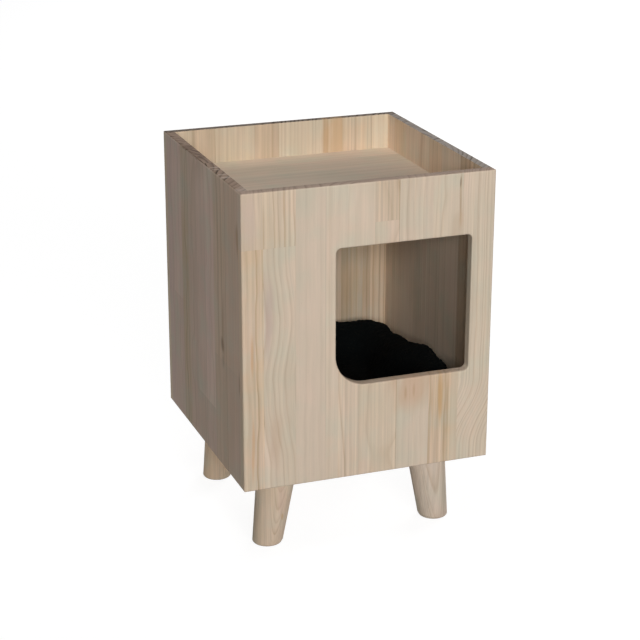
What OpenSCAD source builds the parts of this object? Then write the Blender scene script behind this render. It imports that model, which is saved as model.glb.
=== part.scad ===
// Cat house: a pine case on four splayed legs, with a doorway in its front,
// a tray let into its top and a loose plush bed on its floor.
// Millimetres. Origin on the ground under the middle of the case, front faces -Y.

/* [Case] */
// Width of the case, side to side
case_w = 400; // [360:5:480]
// Depth of the case, front to back
case_d = 400; // [360:5:480]
// Height of the case without its legs
case_h = 464; // [430:1:560]
// Thickness of every board
board_t = 15; // [15:0.5:20]
// Radius of the eased outer edges of the case and of the doorway
ease_r = 2.5; // [0.5:0.25:3.5]
// Depth of the tray floor below the rim
tray_drop = 57; // [30:1:70]

/* [Doorway] */
// Width of the doorway
door_w = 218; // [180:2:230]
// Height of the doorway
door_h = 218; // [180:2:230]
// Wood left between the doorway and the right side of the case
door_side_margin = 36; // [32:1:60]
// Wood left between the doorway and the top of the case
door_top_margin = 97; // [95:1:120]
// Radius of the wide lower left corner of the doorway
door_wide_r = 50; // [20:1:80]
// Radius of the other three corners of the doorway
door_tight_r = 8; // [4:1:15]

/* [Legs] */
// Height of the legs
leg_h = 122; // [90:1:160]
// Diameter of a leg at the case
leg_top_d = 62; // [50:1:70]
// Diameter of a leg at the ground
leg_foot_d = 47; // [36:1:50]
// Sideways splay of a leg in degrees
leg_splay = 7.6; // [3:0.2:10]
// Distance from the side of the case to the middle of a leg's top
leg_side_inset = 75; // [60:1:90]
// Distance from the front or the back of the case to the middle of a leg
leg_end_inset = 69; // [60:1:90]
// Rounding of the edge at the ground
leg_foot_r = 4; // [2:0.5:6]

/* [Leg fixings] */
// Diameter of a hanger bolt
bolt_d = 8; // [6:1:8]
// Length of the bolt's end that screws into the insert nut
bolt_machine_l = 11; // [8:0.5:12]
// Length of the bolt's end that screws into the leg, with its point
bolt_wood_l = 38; // [25:1:45]
// Outer diameter of an insert nut
nut_d = 12; // [11:0.5:14]
// Length of an insert nut
nut_l = 12.5; // [12:0.25:13]
// Diameter of the flange of an insert nut
nut_flange_d = 17; // [16:0.5:20]
// Thickness of the flange of an insert nut
nut_flange_t = 1.5; // [1:0.1:2]

/* [Dowels] */
// Diameter of a dowel
dowel_d = 8; // [6:0.5:8]
// Length of a dowel
dowel_l = 30; // [25:1:35]
// Length of a dowel inside the face of the wall it enters
dowel_face_l = 10; // [8:0.5:11]
// Distance from the end of an upright joint to its first dowel
corner_dowel_inset = 40; // [35:1:50]
// Distance from the corner of a shelf board to its outer dowels
shelf_dowel_inset = 75; // [60:1:90]

/* [Bed] */
// Gap between the bed and the walls of the cabin
bed_gap = 6; // [4:0.5:15]
// Height of the stuffed rim at the middle of the front
bed_rim_h = 124; // [100:1:126]
// Width of the stuffed rim
bed_rim_w = 88; // [60:1:100]
// How much lower the rim is where it is pinched at the corners
bed_corner_drop = 12; // [0:1:16]
// How much lower the rim is at the back than at the front
bed_back_drop = 22; // [0:1:25]
// Height of the hollow in the middle
bed_hollow_h = 48; // [35:1:60]

/* [Hidden] */

$fn = 64;

// Clear gap around a dowel, bolt or nut in its hole
fit_gap = 0.1;
// Empty length past the end of a dowel or bolt in its hole
end_gap = 1;
// Gap between the bed and the floor panel
rest_gap = 0.3;
// How far a cutting shape runs past the face it cuts
overrun = 1;
// Chamfer at the ends of a dowel
dowel_chamfer = 1;
// Length of the bolt's point and of its plain neck, and how much thinner the neck is
bolt_point_l = 8;
bolt_neck_l = 4;
bolt_neck_step = 0.6;
// Blunt diameter at the very tip of the bolt
bolt_tip_d = 1;
// Across-flats size and depth of the hexagon key socket in an insert nut
key_flats = 8.8;
key_depth = 3;

case_z = leg_h;
case_top = case_z + case_h;
inner_w = case_w - 2 * board_t;
inner_d = case_d - 2 * board_t;
tray_top = case_top - tray_drop;
floor_top = case_z + board_t;
door_x = case_w / 2 - door_side_margin - door_w;
door_z = case_top - door_top_margin - door_h;
leg_x = case_w / 2 - leg_side_inset;
leg_y = case_d / 2 - leg_end_inset;
leg_run = leg_h * tan(leg_splay);
leg_len = leg_h / cos(leg_splay);
leg_taper = (leg_top_d - leg_foot_d) / 2 / leg_len;
leg_past = leg_top_d;
wall_mid = board_t / 2;
corner_dowel_count = 4;
corner_dowel_step = (case_h - 2 * corner_dowel_inset) / (corner_dowel_count - 1);
tray_mid = tray_top - wall_mid;
floor_mid = floor_top - wall_mid;
door_radii = [door_wide_r, door_tight_r, door_tight_r, door_tight_r];
hole_d = dowel_d + 2 * fit_gap;
bed_x = inner_w / 2 - bed_gap;
bed_y = inner_d / 2 - bed_gap;
pine = [0.84, 0.75, 0.64];
beech = [0.80, 0.66, 0.48];
zinc = [0.70, 0.71, 0.73];
black_plush = [0.06, 0.06, 0.06];

// Bed shape: number of points round the outline and over the rim, and the squareness of the outline
bed_sectors = 64;
bed_rim_steps = 11;
bed_square = 5;
// Where on the rim's round it meets the hollow and where it meets the base, in degrees
rim_in = 165;
rim_out = -90;
// Height of the widest part of the rim, as a share of its height
rim_waist_share = 0.46;
// Rings of the hollow, from the middle outward: [share of the way to the rim, share of the rise to the rim]
hollow_shares = [[0.38, 0], [0.72, 0.16]];

// Outlines

// A rectangle with its own radius at each corner: lower left, lower right, upper right, upper left
module eased_rect(size, radii) {
    corners = [[0, 0], [size[0], 0], size, [0, size[1]]];
    difference() {
        square(size);
        for (i = [0:3])
            if (radii[i] > 0)
                translate(corners[i]) rotate(90 * i) corner_waste(radii[i]);
    }
}

// The waste between a square corner at the origin and the round that eases it
module corner_waste(r) {
    difference() {
        translate([-overrun, -overrun]) square(r + overrun);
        translate([r, r]) circle(r);
    }
}

// Stands a flat shape up in X and Z, with a thickness toward +Y
module upright_xz(t) {
    translate([0, t, 0]) rotate([90, 0, 0]) linear_extrude(t) children();
}

// Stands a flat shape up in Y and Z, with a thickness toward +X
module upright_yz(t) {
    rotate([90, 0, 90]) linear_extrude(t) children();
}

// Dowel joints. Walls are counted 0 front, 1 right, 2 back, 3 left.

function wall_reach(k) = k % 2 == 0 ? inner_d / 2 : inner_w / 2;
function wall_span(k) = k % 2 == 0 ? inner_w : inner_d;

// A dowel with its joint face at the origin: the short end below it lies in a wall,
// the long end above it in the edge of the board that butts on the wall
module dowel() {
    translate([0, 0, -dowel_face_l]) rotate_extrude() polygon([
        [0, 0],
        [dowel_d / 2 - dowel_chamfer, 0],
        [dowel_d / 2, dowel_chamfer],
        [dowel_d / 2, dowel_l - dowel_chamfer],
        [dowel_d / 2 - dowel_chamfer, dowel_l],
        [0, dowel_l]
    ]);
}

// The two drilled holes that take one dowel, as one shape
module dowel_hole() {
    translate([0, 0, -dowel_face_l - end_gap]) cylinder(h = dowel_l + 2 * end_gap, d = hole_d);
}

// Dowel places in one upright joint, on the left or right (sx) and at the front or back (sy)
module corner_places(sx, sy) {
    for (i = [0:corner_dowel_count - 1])
        translate([
            sx * (case_w / 2 - wall_mid),
            sy * (case_d / 2 - board_t),
            case_z + corner_dowel_inset + i * corner_dowel_step
        ]) rotate([90 * sy, 0, 0]) children();
}

// Dowel places where a level board whose middle is at height z butts on wall k
module shelf_places(k, z) {
    rotate([0, 0, 90 * k])
        for (u = [-1:1])
            translate([u * (wall_span(k) / 2 - shelf_dowel_inset), -wall_reach(k), z])
                rotate([-90, 0, 0]) children();
}

// Case boards

// The wall that front and back have in common, with its outer face at y = 0 toward -Y
module end_wall() {
    intersection() {
        upright_xz(board_t) translate([-case_w / 2, case_z])
            eased_rect([case_w, case_h], [ease_r, ease_r, ease_r, ease_r]);
        translate([-case_w / 2, 0, case_z]) linear_extrude(case_h)
            eased_rect([case_w, board_t], [ease_r, ease_r, 0, 0]);
        translate([-case_w / 2, 0, case_z]) upright_yz(case_w)
            eased_rect([board_t, case_h], [ease_r, 0, 0, ease_r]);
    }
}

// The doorway right through the wall, with the easing of its front edge
module doorway() {
    translate([door_x, 0, door_z]) {
        translate([0, -overrun, 0]) upright_xz(board_t + 2 * overrun)
            eased_rect([door_w, door_h], door_radii);
        door_easing();
    }
}

// Waste along the front edge of the doorway: four straight runs and the four bends between them
module door_easing() {
    corners = [[0, 0, 0], [door_w, 0, 0], [door_w, 0, door_h], [0, 0, door_h]];
    sides = [door_w, door_h, door_w, door_h];
    for (i = [0:3])
        translate(corners[i]) rotate([0, -90 * i, 0]) {
            translate([door_radii[i], 0, 0])
                upright_yz(sides[i] - door_radii[i] - door_radii[(i + 1) % 4])
                    mirror([0, 1]) corner_waste(ease_r);
            translate([door_radii[i], 0, door_radii[i]]) rotate([-90, 0, 0]) rotate([0, 0, 90])
                rotate_extrude(angle = 90) translate([door_radii[i], 0]) corner_waste(ease_r);
        }
}

module front_panel() {
    color(pine) difference() {
        translate([0, -case_d / 2, 0]) difference() {
            end_wall();
            doorway();
        }
        corner_places(-1, -1) dowel_hole();
        corner_places(1, -1) dowel_hole();
        shelf_places(0, tray_mid) dowel_hole();
        shelf_places(0, floor_mid) dowel_hole();
    }
}

module back_panel() {
    color(pine) difference() {
        rotate([0, 0, 180]) translate([0, -case_d / 2, 0]) end_wall();
        corner_places(-1, 1) dowel_hole();
        corner_places(1, 1) dowel_hole();
        shelf_places(2, tray_mid) dowel_hole();
        shelf_places(2, floor_mid) dowel_hole();
    }
}

// A side wall between front and back, on the left (sx = -1) or the right (sx = 1), as wall k
module side_wall(sx, k) {
    color(pine) difference() {
        rotate([0, 0, sx < 0 ? 0 : 180])
            translate([-case_w / 2, -inner_d / 2, case_z]) upright_xz(inner_d)
                eased_rect([board_t, case_h], [ease_r, 0, 0, ease_r]);
        corner_places(sx, -1) dowel_hole();
        corner_places(sx, 1) dowel_hole();
        shelf_places(k, tray_mid) dowel_hole();
        shelf_places(k, floor_mid) dowel_hole();
    }
}

module left_panel() {
    side_wall(-1, 3);
}

module right_panel() {
    side_wall(1, 1);
}

// A level board that fills the case between its four walls, with its top at height z
module shelf(z) {
    difference() {
        translate([-inner_w / 2, -inner_d / 2, z - board_t]) cube([inner_w, inner_d, board_t]);
        for (k = [0:3])
            shelf_places(k, z - wall_mid) dowel_hole();
    }
}

module tray_panel() {
    color(pine) shelf(tray_top);
}

module floor_panel() {
    color(pine) difference() {
        shelf(floor_top);
        for (sx = [-1, 1])
            for (sy = [-1, 1])
                translate([sx * leg_x, sy * leg_y, case_z]) nut_hole();
    }
}

// Dowels

module front_left_corner_dowels() {
    color(beech) corner_places(-1, -1) dowel();
}

module front_right_corner_dowels() {
    color(beech) corner_places(1, -1) dowel();
}

module back_left_corner_dowels() {
    color(beech) corner_places(-1, 1) dowel();
}

module back_right_corner_dowels() {
    color(beech) corner_places(1, 1) dowel();
}

module tray_dowels() {
    color(beech) for (k = [0:3]) shelf_places(k, tray_mid) dowel();
}

module floor_dowels() {
    color(beech) for (k = [0:3]) shelf_places(k, floor_mid) dowel();
}

// Legs

// A leg under the right side of the case, with the middle of its top above the origin
module leg_shape() {
    difference() {
        intersection() {
            translate([leg_run, 0, 0]) rotate([0, -leg_splay, 0]) translate([0, 0, -leg_past])
                cylinder(
                    h = leg_len + 2 * leg_past,
                    r1 = leg_foot_d / 2 - leg_taper * leg_past,
                    r2 = leg_top_d / 2 + leg_taper * leg_past
                );
            translate([leg_run, 0, 0]) foot_trim();
        }
        translate([0, 0, leg_h - bolt_wood_l - end_gap])
            cylinder(h = bolt_wood_l + end_gap + overrun, d = bolt_d + 2 * fit_gap);
    }
}

// The flat top and foot of a leg with the round at the ground, flaring clear of the leg above it
module foot_trim() {
    rotate_extrude() difference() {
        polygon([
            [0, 0],
            [leg_foot_d / 2, 0],
            [leg_foot_d / 2, leg_foot_r],
            [leg_foot_d / 2 + leg_h - leg_foot_r, leg_h],
            [0, leg_h]
        ]);
        translate([leg_foot_d / 2, 0]) mirror([1, 0]) corner_waste(leg_foot_r);
    }
}

// A leg in its place, on the left or right (sx) and at the front or back (sy)
module leg(sx, sy) {
    color(pine) translate([sx * leg_x, sy * leg_y, 0]) rotate([0, 0, sx < 0 ? 180 : 0]) leg_shape();
}

module front_left_leg() {
    leg(-1, -1);
}

module front_right_leg() {
    leg(1, -1);
}

module back_left_leg() {
    leg(-1, 1);
}

module back_right_leg() {
    leg(1, 1);
}

// Leg fixings

// A hanger bolt: pointed end down in the leg, plain neck, machine end up in the insert nut
module bolt(sx, sy) {
    color(zinc) translate([sx * leg_x, sy * leg_y, case_z]) rotate_extrude() polygon([
        [0, -bolt_wood_l],
        [bolt_tip_d / 2, -bolt_wood_l],
        [bolt_d / 2, bolt_point_l - bolt_wood_l],
        [bolt_d / 2, -bolt_neck_l],
        [bolt_d / 2 - bolt_neck_step, -bolt_neck_l],
        [bolt_d / 2 - bolt_neck_step, 0],
        [bolt_d / 2, 0],
        [bolt_d / 2, bolt_machine_l],
        [0, bolt_machine_l]
    ]);
}

module front_left_bolt() {
    bolt(-1, -1);
}

module front_right_bolt() {
    bolt(1, -1);
}

module back_left_bolt() {
    bolt(-1, 1);
}

module back_right_bolt() {
    bolt(1, 1);
}

// An insert nut let into the floor panel from below, with a hexagon key socket in its flange
module insert_nut(sx, sy) {
    color(zinc) translate([sx * leg_x, sy * leg_y, case_z]) difference() {
        union() {
            cylinder(h = nut_l, d = nut_d);
            cylinder(h = nut_flange_t, d = nut_flange_d);
        }
        translate([0, 0, -overrun]) cylinder(h = nut_l + 2 * overrun, d = bolt_d + 2 * fit_gap);
        translate([0, 0, -overrun])
            cylinder(h = key_depth + overrun, d = key_flats / cos(30), $fn = 6);
    }
}

// The stepped hole for an insert nut, from the underside of the floor panel
module nut_hole() {
    translate([0, 0, -overrun]) {
        cylinder(h = nut_l + end_gap + overrun, d = nut_d + 2 * fit_gap);
        cylinder(h = nut_flange_t + fit_gap + overrun, d = nut_flange_d + 2 * fit_gap);
    }
}

module front_left_insert_nut() {
    insert_nut(-1, -1);
}

module front_right_insert_nut() {
    insert_nut(1, -1);
}

module back_left_insert_nut() {
    insert_nut(-1, 1);
}

module back_right_insert_nut() {
    insert_nut(1, 1);
}

// Bed

// How far the outline of the bed lies from its middle at angle a
function bed_reach(a) =
    pow(pow(abs(cos(a)) / bed_x, bed_square) + pow(abs(sin(a)) / bed_y, bed_square), -1 / bed_square);

// Height of the rim at angle a: pinched down at the corners and falling from the front to the back
function rim_top(a) =
    bed_rim_h - bed_corner_drop * pow(sin(2 * a), 2) - bed_back_drop * (1 + sin(a)) / 2;

// A point of the rim's round, at angle a and place p on the round:
// distance from the middle of the bed, and height
function rim_out_at(a, p) = bed_reach(a) - bed_rim_w / 2 + bed_rim_w / 2 * cos(p);
function rim_up_at(a, p) =
    let (waist = rim_waist_share * rim_top(a))
    waist + (p > 0 ? rim_top(a) - waist : waist) * sin(p);

function hollow_ring(share) = [
    for (i = [0:bed_sectors - 1])
        let (a = 360 * i / bed_sectors, r = share[0] * rim_out_at(a, rim_in))
        [r * cos(a), r * sin(a), bed_hollow_h + share[1] * (rim_up_at(a, rim_in) - bed_hollow_h)]
];

function rim_ring(p) = [
    for (i = [0:bed_sectors - 1])
        let (a = 360 * i / bed_sectors, r = rim_out_at(a, p))
        [r * cos(a), r * sin(a), rim_up_at(a, p)]
];

// The loose bed: a stuffed rim round a hollow, closed underneath
module plush_bed() {
    rings = [
        for (share = hollow_shares) hollow_ring(share),
        for (j = [0:bed_rim_steps]) rim_ring(rim_in + (rim_out - rim_in) * j / bed_rim_steps)
    ];
    ring_count = len(rings);
    points = [
        [0, 0, bed_hollow_h],
        [0, 0, 0],
        for (ring = rings) each ring
    ];
    first = 2;
    last = first + (ring_count - 1) * bed_sectors;
    faces = [
        for (i = [0:bed_sectors - 1])
            let (n = (i + 1) % bed_sectors)
            each [[0, first + n, first + i], [1, last + i, last + n]],
        for (j = [0:ring_count - 2])
            for (i = [0:bed_sectors - 1])
                let (
                    n = (i + 1) % bed_sectors,
                    inner = first + j * bed_sectors,
                    outer = inner + bed_sectors
                )
                each [
                    [inner + i, inner + n, outer + n],
                    [inner + i, outer + n, outer + i]
                ]
    ];
    color(black_plush) translate([0, 0, floor_top + rest_gap]) polyhedron(points, faces);
}

front_panel();
back_panel();
left_panel();
right_panel();
tray_panel();
floor_panel();
front_left_corner_dowels();
front_right_corner_dowels();
back_left_corner_dowels();
back_right_corner_dowels();
tray_dowels();
floor_dowels();
front_left_leg();
front_right_leg();
back_left_leg();
back_right_leg();
front_left_bolt();
front_right_bolt();
back_left_bolt();
back_right_bolt();
front_left_insert_nut();
front_right_insert_nut();
back_left_insert_nut();
back_right_insert_nut();
plush_bed();
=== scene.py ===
import math

import bpy
from mathutils import Matrix, Vector


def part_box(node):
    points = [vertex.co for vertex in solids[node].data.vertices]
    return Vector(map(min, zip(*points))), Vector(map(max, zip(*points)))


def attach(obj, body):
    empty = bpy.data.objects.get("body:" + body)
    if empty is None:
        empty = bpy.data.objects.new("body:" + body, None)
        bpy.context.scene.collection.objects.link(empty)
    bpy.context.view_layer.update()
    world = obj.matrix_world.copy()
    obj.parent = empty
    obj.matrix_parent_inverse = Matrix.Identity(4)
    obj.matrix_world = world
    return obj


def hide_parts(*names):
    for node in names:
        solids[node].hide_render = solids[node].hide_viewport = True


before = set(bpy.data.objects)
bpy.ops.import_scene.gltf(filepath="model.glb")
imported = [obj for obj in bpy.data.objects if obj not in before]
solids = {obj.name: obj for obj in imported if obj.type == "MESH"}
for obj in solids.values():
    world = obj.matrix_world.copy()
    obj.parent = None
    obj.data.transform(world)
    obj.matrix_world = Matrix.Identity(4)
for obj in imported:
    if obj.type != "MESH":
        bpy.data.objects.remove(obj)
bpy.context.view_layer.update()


# Floor panel
# The board at the bottom of the case: edge-glued pine staves with the grain from side to side,
# glued and dowelled between the four walls. The legs screw into it and the bed lies on it.

def shader_node(tree, kind, inputs=None, **settings):
    """Adds one node, sets its settings and fills or links its inputs."""
    made = tree.nodes.new(kind)
    for key, value in settings.items():
        setattr(made, key, value)
    for key, value in (inputs or {}).items():
        if isinstance(value, bpy.types.NodeSocket):
            tree.links.new(value, made.inputs[key])
        else:
            made.inputs[key].default_value = value
    return made


def calc(tree, operation, *values):
    """One step of arithmetic on numbers or sockets."""
    step = shader_node(tree, "ShaderNodeMath", dict(enumerate(values)), operation=operation)
    return step.outputs[0]


def blend_colours(tree, share, under, over, how="MIX"):
    """Two colours laid over each other."""
    mixed = shader_node(
        tree, "ShaderNodeMix", {0: share, 6: under, 7: over}, data_type="RGBA", blend_type=how
    )
    return mixed.outputs[2]


def stretched_noise(tree, across, through, along, fine, long, detail=2.0):
    """Noise drawn out along the grain: fine is its pitch across in mm, long its pitch along in mm."""
    spot = shader_node(tree, "ShaderNodeCombineXYZ", {
        0: calc(tree, "DIVIDE", across, fine),
        1: calc(tree, "DIVIDE", through, fine),
        2: calc(tree, "DIVIDE", along, long),
    })
    cloud = shader_node(tree, "ShaderNodeTexNoise", {
        "Vector": spot.outputs[0], "Scale": 1.0, "Detail": detail, "Roughness": 0.55,
    })
    return calc(tree, "SUBTRACT", cloud.outputs[0], 0.5)


def by_stave(tree, across, low, high, steps):
    """Four values that step from stave to stave; steps holds (start of the stave, its values)."""
    bands = shader_node(tree, "ShaderNodeValToRGB", {
        0: shader_node(tree, "ShaderNodeMapRange", {
            "Value": across, "From Min": low, "From Max": high,
        }).outputs[0],
    })
    ramp = bands.color_ramp
    ramp.interpolation = "CONSTANT"
    ramp.elements.remove(ramp.elements[1])
    for number, (start, values) in enumerate(steps):
        place = (start - low) / (high - low)
        stop = ramp.elements[0] if number == 0 else ramp.elements.new(place)
        stop.position = place
        stop.color = values
    parts = shader_node(tree, "ShaderNodeSeparateColor", {0: bands.outputs[0]})
    return [parts.outputs[0], parts.outputs[1], parts.outputs[2], bands.outputs[1]]


# The height of the end joint for a stave that is one piece from end to end.
no_joint = 9999.0


def piece(tone, warm, heart, depth, slope=0.0, lean=0.0, ring=7.0, bold=0.6):
    """One length of pine: its tone and warmth, where the heart of its tree lies beside and behind
    the face, how the heart slopes and leans, the width of its rings and how bold they are (mm)."""
    return (tone, warm, heart, depth), (slope, lean, ring, bold)


def pine(
    name, grain, staves, low=-200.0, high=200.0, middle=(0.0, 0.0), spots=(), swirls=(),
    pale=(0.668, 0.562, 0.438, 1), ends=1.0, sanded=(0.0, 0.0), sawn=(0.268, 0.186, 0.132, 1),
):
    """Sanded pine with growth rings that run through the wood, so faces and end grain agree.

    grain names the axes across the staves, through the board and along the fibres. A stave gives
    its start, its lower piece, the height of the end joint, its upper piece, how dark its glue line
    is and how much its rings wander. A spot is a knot, a resin mark, a warm patch, a mark on a sawn
    edge, a patch of painted light or a patch of painted shade: its place, width, height, strength and
    colour. A swirl pushes the grain aside: from, to, lower and upper height, and how far. low and high
    are the two sides across the staves, and middle is the axis of a turned blank. pale is the colour
    of the coolest wood, sawn that of the end grain, ends how bold the rings are on the end grain, and
    sanded the heights between which the end grain is sanded until it is nearly as pale as the faces.
    """
    material = bpy.data.materials.new(name)
    material.use_nodes = True
    tree = material.node_tree
    tree.nodes.clear()
    place = shader_node(tree, "ShaderNodeTexCoord")
    metres = shader_node(tree, "ShaderNodeSeparateXYZ", {0: place.outputs["Object"]})
    facing = shader_node(tree, "ShaderNodeSeparateXYZ", {0: place.outputs["Normal"]})
    axis = {"X": 0, "Y": 1, "Z": 2}
    spot = [calc(tree, "MULTIPLY", metres.outputs[axis[g]], 1000.0) for g in grain]
    across = calc(tree, "SUBTRACT", spot[0], middle[0])
    through = calc(tree, "SUBTRACT", spot[1], middle[1])
    along = spot[2]

    starts = [stave[0] for stave in staves]
    lower = [stave[1] for stave in staves]
    upper = [stave[3] if len(stave) > 3 and stave[3] else stave[1] for stave in staves]
    joints = []
    for number, stave in enumerate(staves):
        cut_at = stave[2] if len(stave) > 2 else no_joint
        line = stave[4] if len(stave) > 4 else 0.08
        wander = stave[5] if len(stave) > 5 else 0.15
        joints.append((cut_at, line, number % 2, wander))
    joint_at, line, parity, wander = by_stave(tree, across, low, high, list(zip(starts, joints)))
    beyond = by_stave(tree, calc(tree, "ADD", across, 1.0), low, high, list(zip(starts, joints)))
    above = calc(tree, "GREATER_THAN", along, joint_at)
    side = calc(tree, "ABSOLUTE", calc(tree, "SUBTRACT", parity, beyond[2]))
    butt = calc(tree, "LESS_THAN", calc(
        tree, "ABSOLUTE", calc(tree, "SUBTRACT", along, joint_at)
    ), 0.5)
    glue_line = calc(tree, "MAXIMUM", calc(tree, "MULTIPLY", side, beyond[1]), calc(
        tree, "MULTIPLY", butt, 0.03
    ))
    values = []
    for half in (0, 1):
        below_joint = by_stave(tree, across, low, high, [(at, p[half]) for at, p in zip(starts, lower)])
        over_joint = by_stave(tree, across, low, high, [(at, p[half]) for at, p in zip(starts, upper)])
        for under, over in zip(below_joint, over_joint):
            values.append(calc(tree, "MULTIPLY_ADD", calc(tree, "SUBTRACT", over, under), above, under))
    tone, warm, heart, depth, slope, lean, ring_width, bold = values

    seat = calc(tree, "ADD", along, calc(tree, "MULTIPLY", heart, 7.31))
    sway = stretched_noise(tree, calc(tree, "MULTIPLY", heart, 0.5), 0.0, seat, 1.0, 170.0)
    waver = stretched_noise(tree, across, through, seat, 22.0, 80.0, 2.0)
    ripple = stretched_noise(tree, across, through, seat, 9.0, 30.0, 1.0)
    pushed = across
    for start, stop, low_end, high_end, push in swirls:
        rise = shader_node(tree, "ShaderNodeMapRange", {
            "Value": along, "From Min": low_end, "From Max": high_end, "To Max": push,
        }, interpolation_type="SMOOTHSTEP").outputs[0]
        inside = calc(tree, "MULTIPLY", calc(tree, "GREATER_THAN", across, start), calc(
            tree, "LESS_THAN", across, stop
        ))
        pushed = calc(tree, "SUBTRACT", pushed, calc(tree, "MULTIPLY", rise, inside))
    away = calc(tree, "SUBTRACT", pushed, heart)
    away = calc(tree, "MULTIPLY_ADD", slope, along, away)
    widest = calc(tree, "MINIMUM", calc(tree, "MULTIPLY", wander, 160.0), 24.0)
    swing = calc(tree, "MULTIPLY", sway, widest)
    away = calc(tree, "ADD", away, swing)
    behind = calc(tree, "ADD", through, depth)
    behind = calc(tree, "MULTIPLY_ADD", lean, along, behind)
    behind = calc(tree, "MULTIPLY_ADD", swing, 1.25, behind)
    radius = calc(tree, "SQRT", calc(
        tree, "ADD", calc(tree, "MULTIPLY", away, away), calc(tree, "MULTIPLY", behind, behind)
    ))
    bend = calc(tree, "MULTIPLY_ADD", waver, 13.0, calc(tree, "MULTIPLY", ripple, 3.0))
    radius = calc(tree, "MULTIPLY_ADD", bend, wander, radius)
    growth = stretched_noise(tree, radius, heart, 0.0, 17.0, 1.0, 1.0)
    year = calc(tree, "DIVIDE", calc(tree, "MULTIPLY_ADD", growth, 14.0, radius), ring_width)
    season = shader_node(tree, "ShaderNodeValToRGB", {0: calc(tree, "FRACT", year)})
    summer = season.color_ramp
    summer.elements[0].position = 0.0
    summer.elements[0].color = (0.12, 0.12, 0.12, 1)
    summer.elements[1].position = 1.0
    summer.elements[1].color = (0.12, 0.12, 0.12, 1)
    for position, dark in ((0.10, 0.0), (0.45, 0.05), (0.74, 0.55), (0.87, 1.0), (0.94, 0.65)):
        stop = summer.elements.new(position)
        stop.color = (dark, dark, dark, 1)
    yearly = shader_node(tree, "ShaderNodeTexWhiteNoise", {
        "W": calc(tree, "ADD", calc(tree, "FLOOR", year), calc(tree, "MULTIPLY", heart, 0.13)),
    }, noise_dimensions="1D")
    latewood = calc(tree, "MULTIPLY", season.outputs[0], calc(
        tree, "MULTIPLY_ADD", yearly.outputs[0], 0.85, 0.15
    ))

    fibre = stretched_noise(tree, across, through, seat, 0.9, 46.0, 3.0)
    streak = stretched_noise(tree, pushed, through, seat, 5.0, 420.0, 3.0)
    cloud = stretched_noise(tree, across, through, seat, 46.0, 150.0, 2.0)
    drift = stretched_noise(tree, seat, across, through, 60.0, 25.0, 2.0)
    canal = shader_node(tree, "ShaderNodeMapRange", {
        "Value": stretched_noise(tree, across, through, seat, 0.6, 12.0, 1.0),
        "From Min": 0.20, "From Max": 0.30,
    }).outputs[0]

    straw = blend_colours(tree, warm, pale, (0.690, 0.520, 0.350, 1))
    rosy = calc(tree, "MULTIPLY_ADD", cloud, 1.6, 0.25)
    rose = blend_colours(tree, rosy, straw, (0.690, 0.530, 0.425, 1))
    greenish = calc(tree, "MULTIPLY_ADD", drift, 2.4, 0.1)
    mottled = blend_colours(tree, greenish, rose, (0.600, 0.560, 0.440, 1))
    grown = blend_colours(
        tree, calc(tree, "MULTIPLY", latewood, bold), mottled, (0.440, 0.300, 0.180, 1)
    )
    flecked = blend_colours(tree, calc(tree, "MULTIPLY", canal, 0.22), grown, (0.36, 0.235, 0.14, 1))
    light = calc(tree, "MULTIPLY_ADD", fibre, 0.16, tone)
    lively = calc(tree, "MULTIPLY", streak, calc(tree, "ADD", bold, 0.12))
    light = calc(tree, "MULTIPLY_ADD", lively, 0.80, light)
    light = calc(tree, "MULTIPLY_ADD", cloud, 0.22, light)
    wood = blend_colours(tree, 1.0, flecked, shader_node(
        tree, "ShaderNodeCombineColor", {0: light, 1: light, 2: light}
    ).outputs[0], "MULTIPLY")
    wood = blend_colours(tree, glue_line, wood, (0.30, 0.20, 0.12, 1))

    cut = shader_node(tree, "ShaderNodeMapRange", {
        "Value": calc(tree, "ABSOLUTE", facing.outputs[axis[grain[2]]]),
        "From Min": 0.55, "From Max": 0.85,
    }, interpolation_type="SMOOTHSTEP").outputs[0]
    inner = calc(tree, "MULTIPLY", calc(tree, "GREATER_THAN", along, sanded[0]), calc(
        tree, "LESS_THAN", along, sanded[1]
    ))
    cut = calc(tree, "MULTIPLY", cut, calc(tree, "MULTIPLY_ADD", inner, -0.6, 1.0))
    pores = stretched_noise(tree, across, through, along, 0.5, 0.5, 2.0)
    cut_ring = calc(tree, "MULTIPLY_ADD", latewood, ends, calc(tree, "MULTIPLY_ADD", pores, 0.5, 0.04))
    cut_wood = blend_colours(tree, cut_ring, sawn, (0.066, 0.040, 0.026, 1))
    wood = blend_colours(tree, cut, wood, cut_wood)

    # Each spot blends its colour over the wood: knots, resin marks, warm patches and marks on sawn
    # edges, and on the right panel also a patch of painted light and a patch of painted shade.
    for at, up, wide, tall, strong, colour in spots:
        off = calc(tree, "DIVIDE", calc(tree, "SUBTRACT", across, at), wide)
        over = calc(tree, "DIVIDE", calc(tree, "SUBTRACT", along, up), tall)
        off = calc(tree, "MULTIPLY_ADD", waver, 1.6, off)
        far = calc(tree, "SQRT", calc(
            tree, "ADD", calc(tree, "MULTIPLY", off, off), calc(tree, "MULTIPLY", over, over)
        ))
        mark_or_painted_light_and_shade = shader_node(tree, "ShaderNodeMapRange", {
            "Value": far, "From Min": 1.0, "From Max": 0.25, "To Max": strong,
        }, interpolation_type="SMOOTHSTEP").outputs[0]
        wood = blend_colours(tree, mark_or_painted_light_and_shade, wood, colour)

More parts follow.
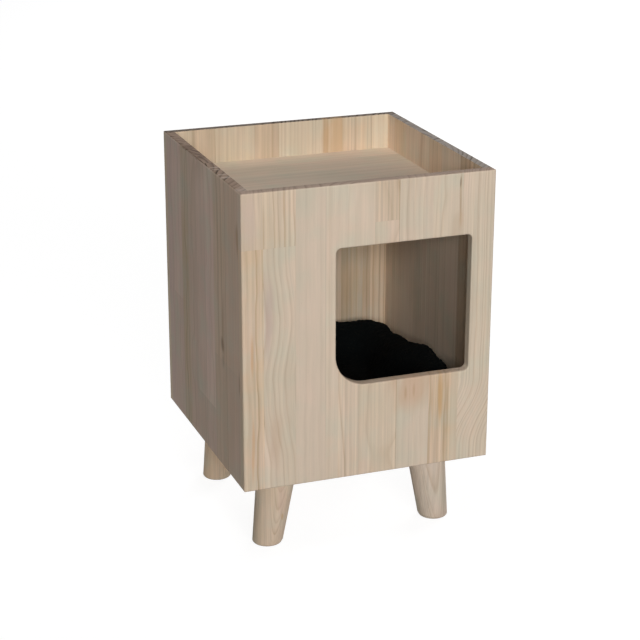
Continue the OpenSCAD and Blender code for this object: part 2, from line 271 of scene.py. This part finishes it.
    rough = calc(tree, "MULTIPLY_ADD", fibre, 0.18, 0.66)
    rough = calc(tree, "MULTIPLY_ADD", cut, 0.30, rough)
    height = calc(tree, "MULTIPLY_ADD", latewood, 0.5, fibre)
    grain_bump = shader_node(tree, "ShaderNodeBump", {
        "Height": height, "Strength": 0.22, "Distance": 0.0003,
    })
    surface = shader_node(tree, "ShaderNodeBsdfPrincipled", {
        "Base Color": wood, "Roughness": rough, "Specular IOR Level": 0.18,
        "Normal": grain_bump.outputs[0],
    })
    shader_node(tree, "ShaderNodeOutputMaterial", {"Surface": surface.outputs[0]})
    return material


def give_material(node, material):
    """Gives one solid of the part its material, in place of the one it came with."""
    solids[node].data.materials.clear()
    solids[node].data.materials.append(material)


give_material("floor_panel", pine("floor pine", "YZX", [
    (-200, piece(0.98, 0.4, -260, 30)),
    (-140, piece(1.02, 0.2, -105, 24, lean=0.03), 60, piece(0.97, 0.4, 60, 90)),
    (-78, piece(0.96, 0.6, 150, 60)),
    (-20, piece(1.01, 0.3, 20, 30, lean=-0.04), -40, piece(0.98, 0.5, -180, 40)),
    (48, piece(0.98, 0.5, 320, 40)),
    (110, piece(1.03, 0.2, 140, 22, lean=0.03)),
]))


# Side panels
# Left and right walls of the case: edge-glued pine staves with upright grain, glued and dowelled
# between the front and the back. Their sawn top edges show dark end grain round the tray.

rim_top = 586.0
give_material("left_panel", pine("left pine", "YXZ", [
    (-200, piece(0.87, 0.65, -307, 333, ring=9, bold=0.3), 300,
     piece(0.93, 0.70, -290, 333, ring=9, bold=0.3)),
    (-122, piece(0.84, 0.80, -256, 333, ring=10, bold=0.3), 300,
     piece(0.91, 0.80, -256, 333, ring=10), 0.35),
    (-65, piece(0.88, 0.3, -205, 333, ring=9, bold=0.3), 205,
     piece(1.02, 0.1, -205, 333, ring=9, bold=0.3)),
    (-20, piece(0.82, 0.5, -160, 333, ring=10, bold=0.4), 205,
     piece(0.93, 0.3, -160, 333, ring=10, bold=0.3)),
    (24, piece(0.86, 0.4, -120, 333, ring=9, bold=0.3), 470,
     piece(0.88, 0.5, -110, 333, ring=9, bold=0.3)),
    (68, piece(0.81, 1.0, -75, 333, ring=8, bold=0.6)),
    (105, piece(0.89, 0.2, -10, 333, ring=9, bold=0.3), 330,
     piece(0.96, 0.1, -20, 333, ring=9, bold=0.3)),
    (155, piece(0.91, 0.0, 30, 333, ring=10, bold=0.3)),
], spots=[
    (-165, 350, 60.0, 330.0, 0.22, (0.600, 0.410, 0.320, 1)),
    (-108, 350, 12.0, 80.0, 0.40, (0.330, 0.190, 0.095, 1)),
    (-101, 325, 11.0, 17.0, 0.60, (0.160, 0.092, 0.050, 1)),
    (-103, 300, 8.0, 16.0, 0.30, (0.200, 0.120, 0.070, 1)),
    (-186, 513, 18.0, 34.0, 0.50, (0.350, 0.190, 0.090, 1)),
    (-182, 290, 4.0, 26.0, 0.50, (0.190, 0.105, 0.058, 1)),
    (56, rim_top, 75.0, 4.0, 0.30, (0.150, 0.095, 0.068, 1)),
    (86, rim_top, 14.0, 4.0, 0.40, (0.120, 0.075, 0.050, 1)),
    (74, rim_top, 5.0, 4.0, 0.40, (0.110, 0.070, 0.048, 1)),
    (34, rim_top, 6.0, 4.0, 0.35, (0.120, 0.075, 0.050, 1)),
    (18, rim_top, 9.0, 4.0, 0.45, (0.120, 0.075, 0.050, 1)),
    (-47, rim_top, 3.0, 4.0, 0.45, (0.760, 0.640, 0.540, 1)),
    (-59, rim_top, 3.0, 4.0, 0.35, (0.760, 0.640, 0.540, 1)),
    (-89, rim_top, 3.0, 4.0, 0.45, (0.760, 0.640, 0.540, 1)),
    (-106, rim_top, 5.0, 4.0, 0.45, (0.760, 0.640, 0.540, 1)),
    (-178, rim_top, 20.0, 4.0, 0.35, (0.760, 0.640, 0.560, 1)),
], pale=(0.694, 0.516, 0.448, 1), ends=1.2, sawn=(0.400, 0.285, 0.215, 1)))

# On the right panel the upper pieces of the staves, above their end joints, are lighter than the lower
# pieces; this is painted light, standing in for light bounced onto the tray's inner right wall.
give_material("right_panel", pine("right pine", "YXZ", [
    (-200, piece(0.88, 0.9, -20, -140, bold=0.4), 508,
     piece(1.02, 0.8, -430, -140, ring=9, bold=1.0), 0.1, 0.03),
    (-107, piece(1.07, 0.1, -320, -168, bold=0.3), 470,
     piece(1.20, 0.3, -400, -150, bold=0.4), 0.5, 0.03),
    (-36, piece(1.05, 0.1, 210, -150, bold=0.3), 520,
     piece(1.19, 0.8, 410, -140, ring=13, bold=0.5), 0.4, 0.03),
    (12, piece(1.05, 0.2, -340, -160, bold=0.3), 425,
     piece(1.24, 0.3, -350, -160, ring=13, bold=0.8), 0.1, 0.03),
    (64, piece(1.11, 0.2, 352, -172, bold=0.2), 500,
     piece(1.25, 0.3, -300, -150, bold=0.4), 0.1, 0.03),
    (105, piece(1.08, 0.3, 440, -140, bold=0.3), 392,
     piece(1.26, 0.7, 440, -150, bold=0.3), 0.1, 0.03),
    (155, piece(1.15, 0.2, 472, -166, bold=0.2), 450,
     piece(1.25, 0.2, 472, -166, bold=0.2), 0.1, 0.03),
], spots=[
    # Painted light: a pale patch low at the back of the cabin's right wall, standing in for light
    # bounced from the back wall.
    (115, 268, 95.0, 85.0, 0.35, (0.940, 0.800, 0.660, 1)),
    # Painted shade: a darker patch high at the back of the cabin's right wall, standing in for the
    # shadow of the doorway's top edge.
    (120, 390, 90.0, 60.0, 0.22, (0.420, 0.330, 0.250, 1)),
    (30, 330, 3.0, 120.0, 0.35, (0.980, 0.840, 0.690, 1)),
    (14, 330, 3.0, 140.0, 0.40, (0.980, 0.840, 0.690, 1)),
], pale=(0.694, 0.580, 0.460, 1), sawn=(0.435, 0.380, 0.336, 1)))


# Back panel
# The back wall of the case, which covers the edges of the side panels. Upright grain, with the
# warmer staves that show above the tray and through the doorway.

give_material("back_panel", pine("back pine", "XYZ", [
    (-200, piece(1.04, 0.4, -330, -60, bold=0.3), 340, piece(1.00, 0.6, -480, -60, ring=9, bold=0.5)),
    (-158, piece(0.98, 0.6, -330, -200, ring=9, bold=0.6), 255,
     piece(0.94, 0.65, -530, -200, ring=11, bold=0.7), 0.1, 0.04),
    (-118, piece(0.94, 0.6, -125, -226, lean=0.04, bold=0.5), 470,
     piece(1.03, 0.25, -410, -190, bold=0.4), 0.1, 0.05),
    (-51, piece(1.04, 0.3, -12, -230, bold=0.4), 320,
     piece(0.94, 0.7, 400, -200, ring=17, bold=0.5), 0.2, 0.04),
    (-9, piece(0.94, 0.7, 300, -160, ring=9, bold=0.6), 505,
     piece(1.04, 0.0, 478, -220, bold=0.35), 0.15, 0.05),
    (70, piece(0.86, 0.8, 330, -160, ring=9, bold=0.7), 415, piece(0.94, 1.0, 330, -160, bold=0.3)),
    (78, piece(0.84, 0.8, 330, -160, ring=9, bold=0.7), 415, piece(1.05, 0.8, 330, -160, bold=0.2)),
    (86, piece(0.84, 0.8, 330, -160, ring=9, bold=0.7), 415, piece(0.98, 1.0, 330, -160, bold=0.3)),
    (103, piece(0.76, 1.0, 420, -150, ring=9, bold=0.5), 488,
     piece(1.04, 0.7, 420, -150, ring=12, bold=0.7)),
    (119, piece(0.88, 0.9, 420, -150, ring=8, bold=0.7), 488,
     piece(1.05, 0.5, 420, -150, ring=12, bold=0.8), 0.3),
    (141, piece(0.91, 1.0, 480, -150, ring=9, bold=0.7), 488,
     piece(1.01, 0.4, 420, -150, ring=12, bold=0.8), 0.0),
    (156, piece(1.13, 0.8, 480, -150, ring=9, bold=1.0), 395,
     piece(1.14, 0.0, 480, -150, bold=0.25), 0.2),
], spots=[
    (74, 557, 8.0, 90.0, 0.45, (0.580, 0.360, 0.185, 1)),
    (94, 557, 20.0, 90.0, 0.45, (0.590, 0.390, 0.195, 1)),
    (111, 330, 12.0, 150.0, 0.40, (0.490, 0.340, 0.185, 1)),
    (130, 330, 14.0, 150.0, 0.25, (0.560, 0.420, 0.230, 1)),
], pale=(0.660, 0.562, 0.415, 1), ends=2.0, sawn=(0.236, 0.188, 0.150, 1)))


# Front panel
# The wall with the doorway, cut from one edge-glued board that covers the edges of the side panels.
# Upright grain in staves of uneven width: flame figure at the lower left, a warm streak and slanting
# grain at the lower right, and a short resin mark at the top.

give_material("front_panel", pine("front pine", "XYZ", [
    (-200, piece(0.97, 1.0, -420, 230, ring=9.0, bold=0.6), 501,
     piece(0.93, 0.4, -300, 240, bold=0.15), 0.0),
    (-182, piece(0.99, 1.0, -420, 230, ring=9.0, bold=0.9), 501,
     piece(1.00, 0.4, -300, 240, bold=0.3), 0.0),
    (-168, piece(1.01, 0.1, -136, 234, lean=-0.080, ring=9.0, bold=0.38), 501,
     piece(1.02, 0.4, -330, 240, ring=8.0, bold=0.7), 0.0, 0.4),
    (-118, piece(0.99, 0.0, 240, 260, ring=13.0, bold=0.10), no_joint, None, 0.04),
    (-71, piece(1.02, 0.1, -300, 250, ring=12.0, bold=0.20), no_joint, None, 0.2),
    (-50, piece(1.02, 0.3, -250, 236, slope=0.067, ring=8.0, bold=0.8), 480,
     piece(1.03, 0.1, -250, 248, ring=9.0, bold=0.15), 0.0),
    (-18, piece(1.02, 0.3, 22, 248, lean=-0.12, ring=11.0, bold=0.5), 480,
     piece(1.03, 0.1, -250, 248, ring=9.0, bold=0.15), 0.0),
    (5, piece(1.02, 0.3, 22, 248, lean=-0.12, ring=11.0, bold=0.5), 524,
     piece(0.97, 0.6, -250, 248, ring=12.0, bold=1.0), 0.0),
    (45, piece(1.00, 0.0, 360, 250, ring=14.0, bold=0.15), 480,
     piece(1.01, 0.1, 360, 250, ring=9.0, bold=0.4), 0.45),
    (67, piece(1.01, 0.0, 360, 250, ring=14.0, bold=0.15), 480,
     piece(1.01, 0.1, 360, 250, ring=9.0, bold=0.4), 0.12),
    (97, piece(0.99, 1.0, 420, 240, ring=13.0, bold=1.0), 400,
     piece(1.05, 0.1, 140, 226, lean=0.03, bold=0.4), 0.0),
    (135, piece(1.01, 0.6, 420, 240, ring=12.0, bold=0.3), 400,
     piece(1.04, 0.1, 140, 226, lean=0.03, bold=0.3), 0.0),
    (146, piece(1.06, 0.05, 262, 260, ring=5.0, bold=0.5), no_joint, None, 0.05, 0.3),
], spots=[
    (142.5, 556, 2.6, 46.0, 0.45, (0.420, 0.260, 0.140, 1)),
    (142, 572, 2.0, 12.0, 0.50, (0.150, 0.085, 0.048, 1)),
    (143.5, 528, 1.8, 30.0, 0.40, (0.350, 0.215, 0.125, 1)),
    (144, 515, 5.0, 22.0, 0.30, (0.600, 0.390, 0.240, 1)),
    (70, 254, 46.0, 54.0, 0.55, (0.590, 0.380, 0.240, 1)),
    (60, 248, 3.0, 16.0, 0.40, (0.450, 0.265, 0.150, 1)),
    (73, 250, 3.0, 16.0, 0.35, (0.450, 0.265, 0.150, 1)),
    (119, 232, 5.5, 62.0, 0.60, (0.560, 0.325, 0.130, 1)),
    (130.5, 222, 2.6, 75.0, 0.35, (0.450, 0.280, 0.150, 1)),
    (105, 212, 2.2, 75.0, 0.30, (0.500, 0.320, 0.180, 1)),
    (-185, 336, 3.4, 42.0, 0.50, (0.600, 0.330, 0.160, 1)),
    (-185.5, 190, 3.6, 75.0, 0.45, (0.600, 0.330, 0.160, 1)),
    (-160, 396, 12.0, 86.0, 0.45, (0.520, 0.370, 0.330, 1)),
    (-190, 545, 15.0, 55.0, 0.30, (0.620, 0.450, 0.390, 1)),
    (-148, 200, 13.0, 60.0, 0.30, (0.550, 0.360, 0.240, 1)),
], swirls=[
    (146, 200, 146, 260, 42), (-168, -118, 150, 265, -16),
    (-168, -118, 295, 386, 12), (-168, -118, 386, 486, -10),
], ends=0.4, sanded=(250.0, 510.0), sawn=(0.490, 0.365, 0.288, 1)))


# Tray panel
# The board let in below the rim, with its grain from side to side. It makes the floor of the tray
# and the ceiling of the cabin.

# Its tones sit above the other boards': partly the board's own paler tone, partly painted light that
# stands in for light on the tray floor.
give_material("tray_panel", pine("tray pine", "YZX", [
    (-200, piece(1.12, 0.1, -420, -700, bold=0.2), no_joint, None, 0.06, 0.05),
    (-138, piece(1.10, 0.2, -330, -690, bold=0.2), no_joint, None, 0.06, 0.05),
    (-84, piece(1.12, 0.1, -290, -720, bold=0.2), no_joint, None, 0.06, 0.05),
    (-30, piece(1.04, 0.2, 260, -700, bold=0.2), no_joint, None, 0.06, 0.05),
    (28, piece(1.07, 0.15, 310, -690, bold=0.2), no_joint, None, 0.06, 0.05),
    (82, piece(1.12, 0.2, 380, -710, bold=0.2), no_joint, None, 0.06, 0.05),
    (138, piece(1.19, 0.1, 420, -700, bold=0.2), no_joint, None, 0.06, 0.05),
], pale=(0.666, 0.571, 0.462, 1)))


# Dowels
# Ribbed beech pegs, glued into drilled holes in the hidden faces of every joint of the case.

def beech(name):
    """Pale beech with short brown flecks."""
    material = bpy.data.materials.new(name)
    material.use_nodes = True
    tree = material.node_tree
    tree.nodes.clear()
    place = shader_node(tree, "ShaderNodeTexCoord")
    flecks = shader_node(tree, "ShaderNodeTexNoise", {
        "Vector": place.outputs["Object"], "Scale": 900.0, "Detail": 3.0,
    })
    tone = shader_node(tree, "ShaderNodeTexNoise", {
        "Vector": place.outputs["Object"], "Scale": 60.0, "Detail": 2.0,
    })
    pale = blend_colours(tree, tone.outputs[0], (0.60, 0.42, 0.25, 1), (0.52, 0.34, 0.19, 1))
    fleck = shader_node(tree, "ShaderNodeMapRange", {
        "Value": flecks.outputs[0], "From Min": 0.58, "From Max": 0.70, "To Max": 0.6,
    })
    peg = blend_colours(tree, fleck.outputs[0], pale, (0.30, 0.17, 0.085, 1))
    ribs = shader_node(tree, "ShaderNodeBump", {
        "Height": flecks.outputs[0], "Strength": 0.2, "Distance": 0.0002,
    })
    surface = shader_node(tree, "ShaderNodeBsdfPrincipled", {
        "Base Color": peg, "Roughness": 0.6, "Normal": ribs.outputs[0],
    })
    shader_node(tree, "ShaderNodeOutputMaterial", {"Surface": surface.outputs[0]})
    return material


peg_wood = beech("dowel beech")
for group in (
    "front_left_corner_dowels", "front_right_corner_dowels",
    "back_left_corner_dowels", "back_right_corner_dowels",
    "tray_dowels", "floor_dowels",
):
    give_material(group, peg_wood)


# Leg fixings
# Zinc-plated hanger bolts, screwed into the leg tops, and flanged insert nuts let into the
# underside of the floor panel.

def zinc(name):
    """Bright zinc plating with a faint crystal pattern and rubbed spots."""
    material = bpy.data.materials.new(name)
    material.use_nodes = True
    tree = material.node_tree
    tree.nodes.clear()
    place = shader_node(tree, "ShaderNodeTexCoord")
    crystals = shader_node(tree, "ShaderNodeTexVoronoi", {
        "Vector": place.outputs["Object"], "Scale": 700.0,
    })
    rubbed = shader_node(tree, "ShaderNodeTexNoise", {
        "Vector": place.outputs["Object"], "Scale": 260.0, "Detail": 4.0,
    })
    plate = blend_colours(tree, crystals.outputs[0], (0.58, 0.59, 0.62, 1), (0.46, 0.47, 0.50, 1))
    rough = calc(tree, "MULTIPLY_ADD", rubbed.outputs[0], 0.30, 0.22)
    surface = shader_node(tree, "ShaderNodeBsdfPrincipled", {
        "Base Color": plate, "Roughness": rough, "Metallic": 1.0,
    })
    shader_node(tree, "ShaderNodeOutputMaterial", {"Surface": surface.outputs[0]})
    return material


plating = zinc("zinc plating")
for corner in ("front_left", "front_right", "back_left", "back_right"):
    give_material(corner + "_bolt", plating)
    give_material(corner + "_insert_nut", plating)


# Legs
# Turned pine, tapered and splayed to the sides, sanded like the case. Each is turned from its own
# blank with the fibres along the leg, so the rings come out as nested arches on the taper.

splay = math.tan(math.radians(7.6))
blank_half = 60.0
for corner, tone, warm, heart, depth, ring, pale, spots in (
    ("front_left", 1.01, 0.45, -8.0, 300.0, 1.2, (0.672, 0.558, 0.438, 1), [
        (3, 84, 13.0, 46.0, 0.30, (0.620, 0.430, 0.350, 1)),
        (5, 50, 3.5, 9.0, 0.50, (0.540, 0.330, 0.140, 1)),
    ]),
    ("front_right", 1.02, 0.0, 8.0, 300.0, 3.0, (0.674, 0.570, 0.464, 1), [
        # On the front-right leg, a greyer, darker patch at the top, just under the case.
        (0, 112, 30.0, 22.0, 0.20, (0.520, 0.430, 0.400, 1)),
    ]),
    # The back-left leg's tone of 1.34, well above the other legs', is painted light: it stands in for
    # light that reaches it from the front and below under the case.
    ("back_left", 1.34, 0.8, 6.0, 40.0, 2.2, (0.676, 0.552, 0.438, 1), []),
    ("back_right", 1.00, 0.3, -2.0, 60.0, 2.0, (0.668, 0.562, 0.438, 1), []),
):
    low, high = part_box(corner + "_leg")
    centre = (low + high) * 500.0
    slope = -splay if corner.endswith("left") else splay
    blank = piece(tone, warm, heart, depth, slope, ring=ring, bold=0.5)
    give_material(corner + "_leg", pine(
        corner + " leg pine", "XYZ", [(-blank_half, blank, no_joint, blank, 0.0, 0.02)],
        low=-blank_half, high=blank_half, middle=(centre.x, centre.y), spots=spots, pale=pale,
    ))


# Bed
# A loose black plush bed: one long stuffed roll, gathered at its corners and sewn round a softer
# middle, pushed into the cabin so that it stands up along the walls in uneven lumps.

bpy.ops.object.select_all(action="DESELECT")
bed = bpy.data.objects.new("plush_cover", solids["plush_bed"].data.copy())
bpy.context.scene.collection.objects.link(bed)
bed.select_set(True)
bpy.context.view_layer.objects.active = bed
bpy.ops.object.mode_set(mode="EDIT")
bpy.ops.mesh.select_all(action="SELECT")
bpy.ops.mesh.remove_doubles(threshold=0.0001)
bpy.ops.object.mode_set(mode="OBJECT")
even_skin = bed.modifiers.new("even skin", "REMESH")
even_skin.mode = "VOXEL"
even_skin.voxel_size = 0.005
bpy.ops.object.modifier_apply(modifier=even_skin.name)
bpy.ops.object.mode_set(mode="EDIT")
bpy.ops.mesh.select_all(action="SELECT")
bpy.ops.mesh.vertices_smooth(factor=0.5, repeat=6)
bpy.ops.object.mode_set(mode="OBJECT")

bed_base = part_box("plush_bed")[0].z
bed_half = 0.179
roll_width = 0.088
wall_face = 0.1838
swell_limit = 0.016
flat_base = 0.012
seam_half = 0.003
seam_from = 0.03
gather_half = 0.004
gather_from = 0.05
settle_frames = 20


def bed_reach(turn):
    """How far the bed's rounded square outline lies from its middle in the direction turn."""
    return bed_half * (abs(math.cos(turn)) ** 5 + abs(math.sin(turn)) ** 5) ** -0.2


def nudge(place, push, spread):
    """Pulls the cover at one place above the floor; the cloth around it follows."""
    at = Vector(place) + Vector((0.0, 0.0, bed_base))
    nearest = min(bed.data.vertices, key=lambda v: (v.co - at).length).index
    bpy.ops.object.mode_set(mode="EDIT")
    bpy.ops.mesh.select_all(action="DESELECT")
    bpy.ops.object.mode_set(mode="OBJECT")
    bed.data.vertices[nearest].select = True
    bpy.ops.object.mode_set(mode="EDIT")
    bpy.ops.transform.translate(
        value=push, use_proportional_edit=True, proportional_edit_falloff="SMOOTH",
        proportional_size=spread,
    )
    bpy.ops.object.mode_set(mode="OBJECT")


nudge((0.085, 0.150, 0.0967), (0.0, 0.004, 0.021), 0.110)
nudge((0.155, 0.128, 0.0787), (0.010, 0.0, 0.020), 0.060)
nudge((0.150, 0.070, 0.0967), (0.006, 0.0, 0.011), 0.050)
nudge((0.160, -0.050, 0.0967), (0.008, 0.0, 0.020), 0.100)
nudge((0.155, -0.125, 0.0867), (0.008, 0.0, 0.021), 0.080)
nudge((0.138, 0.020, 0.1107), (0.010, 0.0, 0.002), 0.070)
nudge((0.122, 0.140, 0.1017), (0.0, 0.0, 0.008), 0.034)
nudge((0.157, 0.035, 0.0987), (0.0, 0.0, 0.006), 0.040)
nudge((0.166, -0.050, 0.1037), (0.0, 0.0, 0.007), 0.045)
nudge((-0.130, 0.060, 0.1067), (0.0, 0.0, 0.010), 0.100)
nudge((-0.120, -0.130, 0.1067), (0.0, 0.0, 0.010), 0.090)
nudge((0.030, -0.140, 0.1187), (0.0, 0.0, -0.006), 0.090)

bpy.ops.object.mode_set(mode="EDIT")
bpy.ops.mesh.select_all(action="DESELECT")
bpy.ops.object.mode_set(mode="OBJECT")
for vertex in bed.data.vertices:
    vertex.select = vertex.co.z > bed_base + flat_base
bpy.ops.object.mode_set(mode="EDIT")
bpy.ops.transform.shrink_fatten(value=-0.008)
bpy.ops.object.mode_set(mode="OBJECT")

sewn = bed.vertex_groups.new(name="sewn")
gathers = [math.radians(turn) for turn in (37, 143, 217, 323)]
for vertex in bed.data.vertices:
    x, y, z = vertex.co
    turn = math.atan2(y, x)
    out = math.hypot(x, y)
    above_base = z - bed_base
    seam = abs(out - bed_reach(turn) + roll_width) < seam_half and above_base > seam_from
    tuck = any(abs(math.remainder(turn - g, math.tau)) * out < gather_half for g in gathers)
    if above_base < flat_base or seam or (tuck and above_base > gather_from):
        sewn.add([vertex.index], 1.0, "REPLACE")

before = [vertex.co.copy() for vertex in bed.data.vertices]
stuffing = bed.modifiers.new("stuffing", "CLOTH")
cloth = stuffing.settings
cloth.quality = 5
cloth.mass = 0.3
cloth.tension_stiffness = 12.0
cloth.compression_stiffness = 12.0
cloth.bending_stiffness = 0.4
cloth.use_pressure = True
cloth.uniform_pressure_force = 4.0
cloth.vertex_group_mass = sewn.name
cloth.effector_weights.gravity = 0.0
stuffing.point_cache.frame_start = 1
stuffing.point_cache.frame_end = settle_frames
for number in range(1, settle_frames + 1):
    bpy.context.scene.frame_set(number)
bpy.ops.object.modifier_apply(modifier=stuffing.name)
bpy.context.scene.frame_set(1)
for vertex, start in zip(bed.data.vertices, before):
    swell = vertex.co - start
    if swell.length > swell_limit:
        vertex.co = start + swell * (swell_limit / swell.length)

bpy.ops.object.mode_set(mode="EDIT")
bpy.ops.mesh.select_all(action="SELECT")
bpy.ops.mesh.vertices_smooth(factor=0.5, repeat=3)
bpy.ops.object.mode_set(mode="OBJECT")
finer = bed.modifiers.new("finer", "SUBSURF")
finer.levels = 1
finer.render_levels = 1
bpy.ops.object.modifier_apply(modifier=finer.name)
tuft_cloud = bpy.data.textures.new("tufts", "CLOUDS")
tuft_cloud.noise_scale = 0.007
tuft_cloud.noise_depth = 2
tufted = bed.modifiers.new("tufts", "DISPLACE")
tufted.texture = tuft_cloud
tufted.texture_coords = "LOCAL"
tufted.strength = 0.004
tufted.mid_level = 0.5
bpy.ops.object.modifier_apply(modifier=tufted.name)
for vertex in bed.data.vertices:
    vertex.co.x = max(-wall_face, min(wall_face, vertex.co.x))
    vertex.co.y = max(-wall_face, min(wall_face, vertex.co.y))
    vertex.co.z = max(bed_base, vertex.co.z)
bpy.ops.object.shade_smooth()

plush = bpy.data.materials.new("black plush")
plush.use_nodes = True
tree = plush.node_tree
tree.nodes.clear()
place = shader_node(tree, "ShaderNodeTexCoord")
tufts = shader_node(tree, "ShaderNodeTexNoise", {
    "Vector": place.outputs["Object"], "Scale": 420.0, "Detail": 5.0, "Roughness": 0.7,
})
nap = shader_node(tree, "ShaderNodeTexNoise", {
    "Vector": place.outputs["Object"], "Scale": 38.0, "Detail": 3.0,
})
pile = blend_colours(tree, tufts.outputs[0], (0.0010, 0.0014, 0.0014, 1), (0.0058, 0.0074, 0.0074, 1))
brushed = calc(tree, "MULTIPLY", nap.outputs[0], 0.5)
pile = blend_colours(tree, brushed, pile, (0.0030, 0.0040, 0.0041, 1))
pile_bump = shader_node(tree, "ShaderNodeBump", {
    "Height": tufts.outputs[0], "Strength": 0.8, "Distance": 0.003,
})
surface = shader_node(tree, "ShaderNodeBsdfPrincipled", {
    "Base Color": pile, "Roughness": 0.95, "Specular IOR Level": 0.04,
    "Sheen Weight": 0.008, "Sheen Roughness": 0.45, "Normal": pile_bump.outputs[0],
})
shader_node(tree, "ShaderNodeOutputMaterial", {"Surface": surface.outputs[0]})
bed.data.materials.clear()
bed.data.materials.append(plush)
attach(bed, "bed")
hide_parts("plush_bed")


# Studio
# A white floor and a white surround, a broad softbox far in front, one overhead and a fill behind on
# the right. The camera looks down at the front from the left through a long lens.

def seen_directly(tree):
    """1 for what the camera sees itself, in a mirror or through glass, 0 for light that bounces."""
    path = shader_node(tree, "ShaderNodeLightPath")
    relayed = calc(
        tree, "MAXIMUM", path.outputs["Is Glossy Ray"], path.outputs["Is Transmission Ray"]
    )
    return calc(tree, "MAXIMUM", path.outputs["Is Camera Ray"], relayed)


bpy.ops.object.select_all(action="DESELECT")
bpy.ops.mesh.primitive_plane_add(size=14.0, location=(0, 0, 0))
floor = bpy.context.active_object
floor.name = "studio_floor"
paper = bpy.data.materials.new("white paper")
paper.use_nodes = True
tree = paper.node_tree
tree.nodes.clear()
seen = seen_directly(tree)
matt = shader_node(tree, "ShaderNodeBsdfDiffuse", {"Color": (0.55, 0.55, 0.55, 1)})
shade = shader_node(tree, "ShaderNodeBsdfDiffuse", {"Color": (0.22, 0.22, 0.22, 1)})
glow = shader_node(tree, "ShaderNodeEmission", {"Color": (1, 1, 1, 1), "Strength": 0.90})
lit = shader_node(tree, "ShaderNodeAddShader", {0: shade.outputs[0], 1: glow.outputs[0]})
both = shader_node(tree, "ShaderNodeMixShader", {0: seen, 1: matt.outputs[0], 2: lit.outputs[0]})
shader_node(tree, "ShaderNodeOutputMaterial", {"Surface": both.outputs[0]})
floor.data.materials.append(paper)

world = bpy.data.worlds.new("white surround")
bpy.context.scene.world = world
world.use_nodes = True
tree = world.node_tree
tree.nodes.clear()
seen = seen_directly(tree)
strength = shader_node(tree, "ShaderNodeMapRange", {"Value": seen, "To Min": 0.035, "To Max": 1.0})
air = shader_node(tree, "ShaderNodeBackground", {
    "Color": (1, 1, 1, 1), "Strength": strength.outputs[0],
})
shader_node(tree, "ShaderNodeOutputWorld", {"Surface": air.outputs[0]})

aim = Vector((0.0, 0.0, 0.35))
for name, place, wide, tall, watts in (
    ("front softbox", (-0.85, -5.77, 2.15), 3.6, 1.5, 240.0),
    ("overhead softbox", (-0.80, -0.68, 4.11), 1.8, 1.5, 33.5),
    ("back fill", (4.20, 3.90, 1.60), 3.0, 1.5, 210.0),
):
    lamp_data = bpy.data.lights.new(name, "AREA")
    lamp_data.shape = "RECTANGLE"
    lamp_data.size = wide
    lamp_data.size_y = tall
    lamp_data.energy = watts
    lamp = bpy.data.objects.new(name, lamp_data)
    bpy.context.scene.collection.objects.link(lamp)
    lamp.location = place
    lamp.rotation_euler = (aim - lamp.location).to_track_quat("-Z", "Y").to_euler()

camera_data = bpy.data.cameras.new("camera")
camera_data.sensor_width = 36.0
camera_data.lens = 101.983
camera = bpy.data.objects.new("camera", camera_data)
bpy.context.scene.collection.objects.link(camera)
eye = (-0.9604, -2.5541, 1.2846)
azimuth = -20.5121
elevation = 19.7418
roll = 0.1412
camera.matrix_world = (
    Matrix.Translation(eye)
    @ Matrix.Rotation(math.radians(azimuth), 4, "Z")
    @ Matrix.Rotation(math.radians(90.0 - elevation), 4, "X")
    @ Matrix.Rotation(math.radians(roll), 4, "Z")
)
bpy.context.scene.camera = camera
bpy.context.scene.view_settings.view_transform = "Standard"
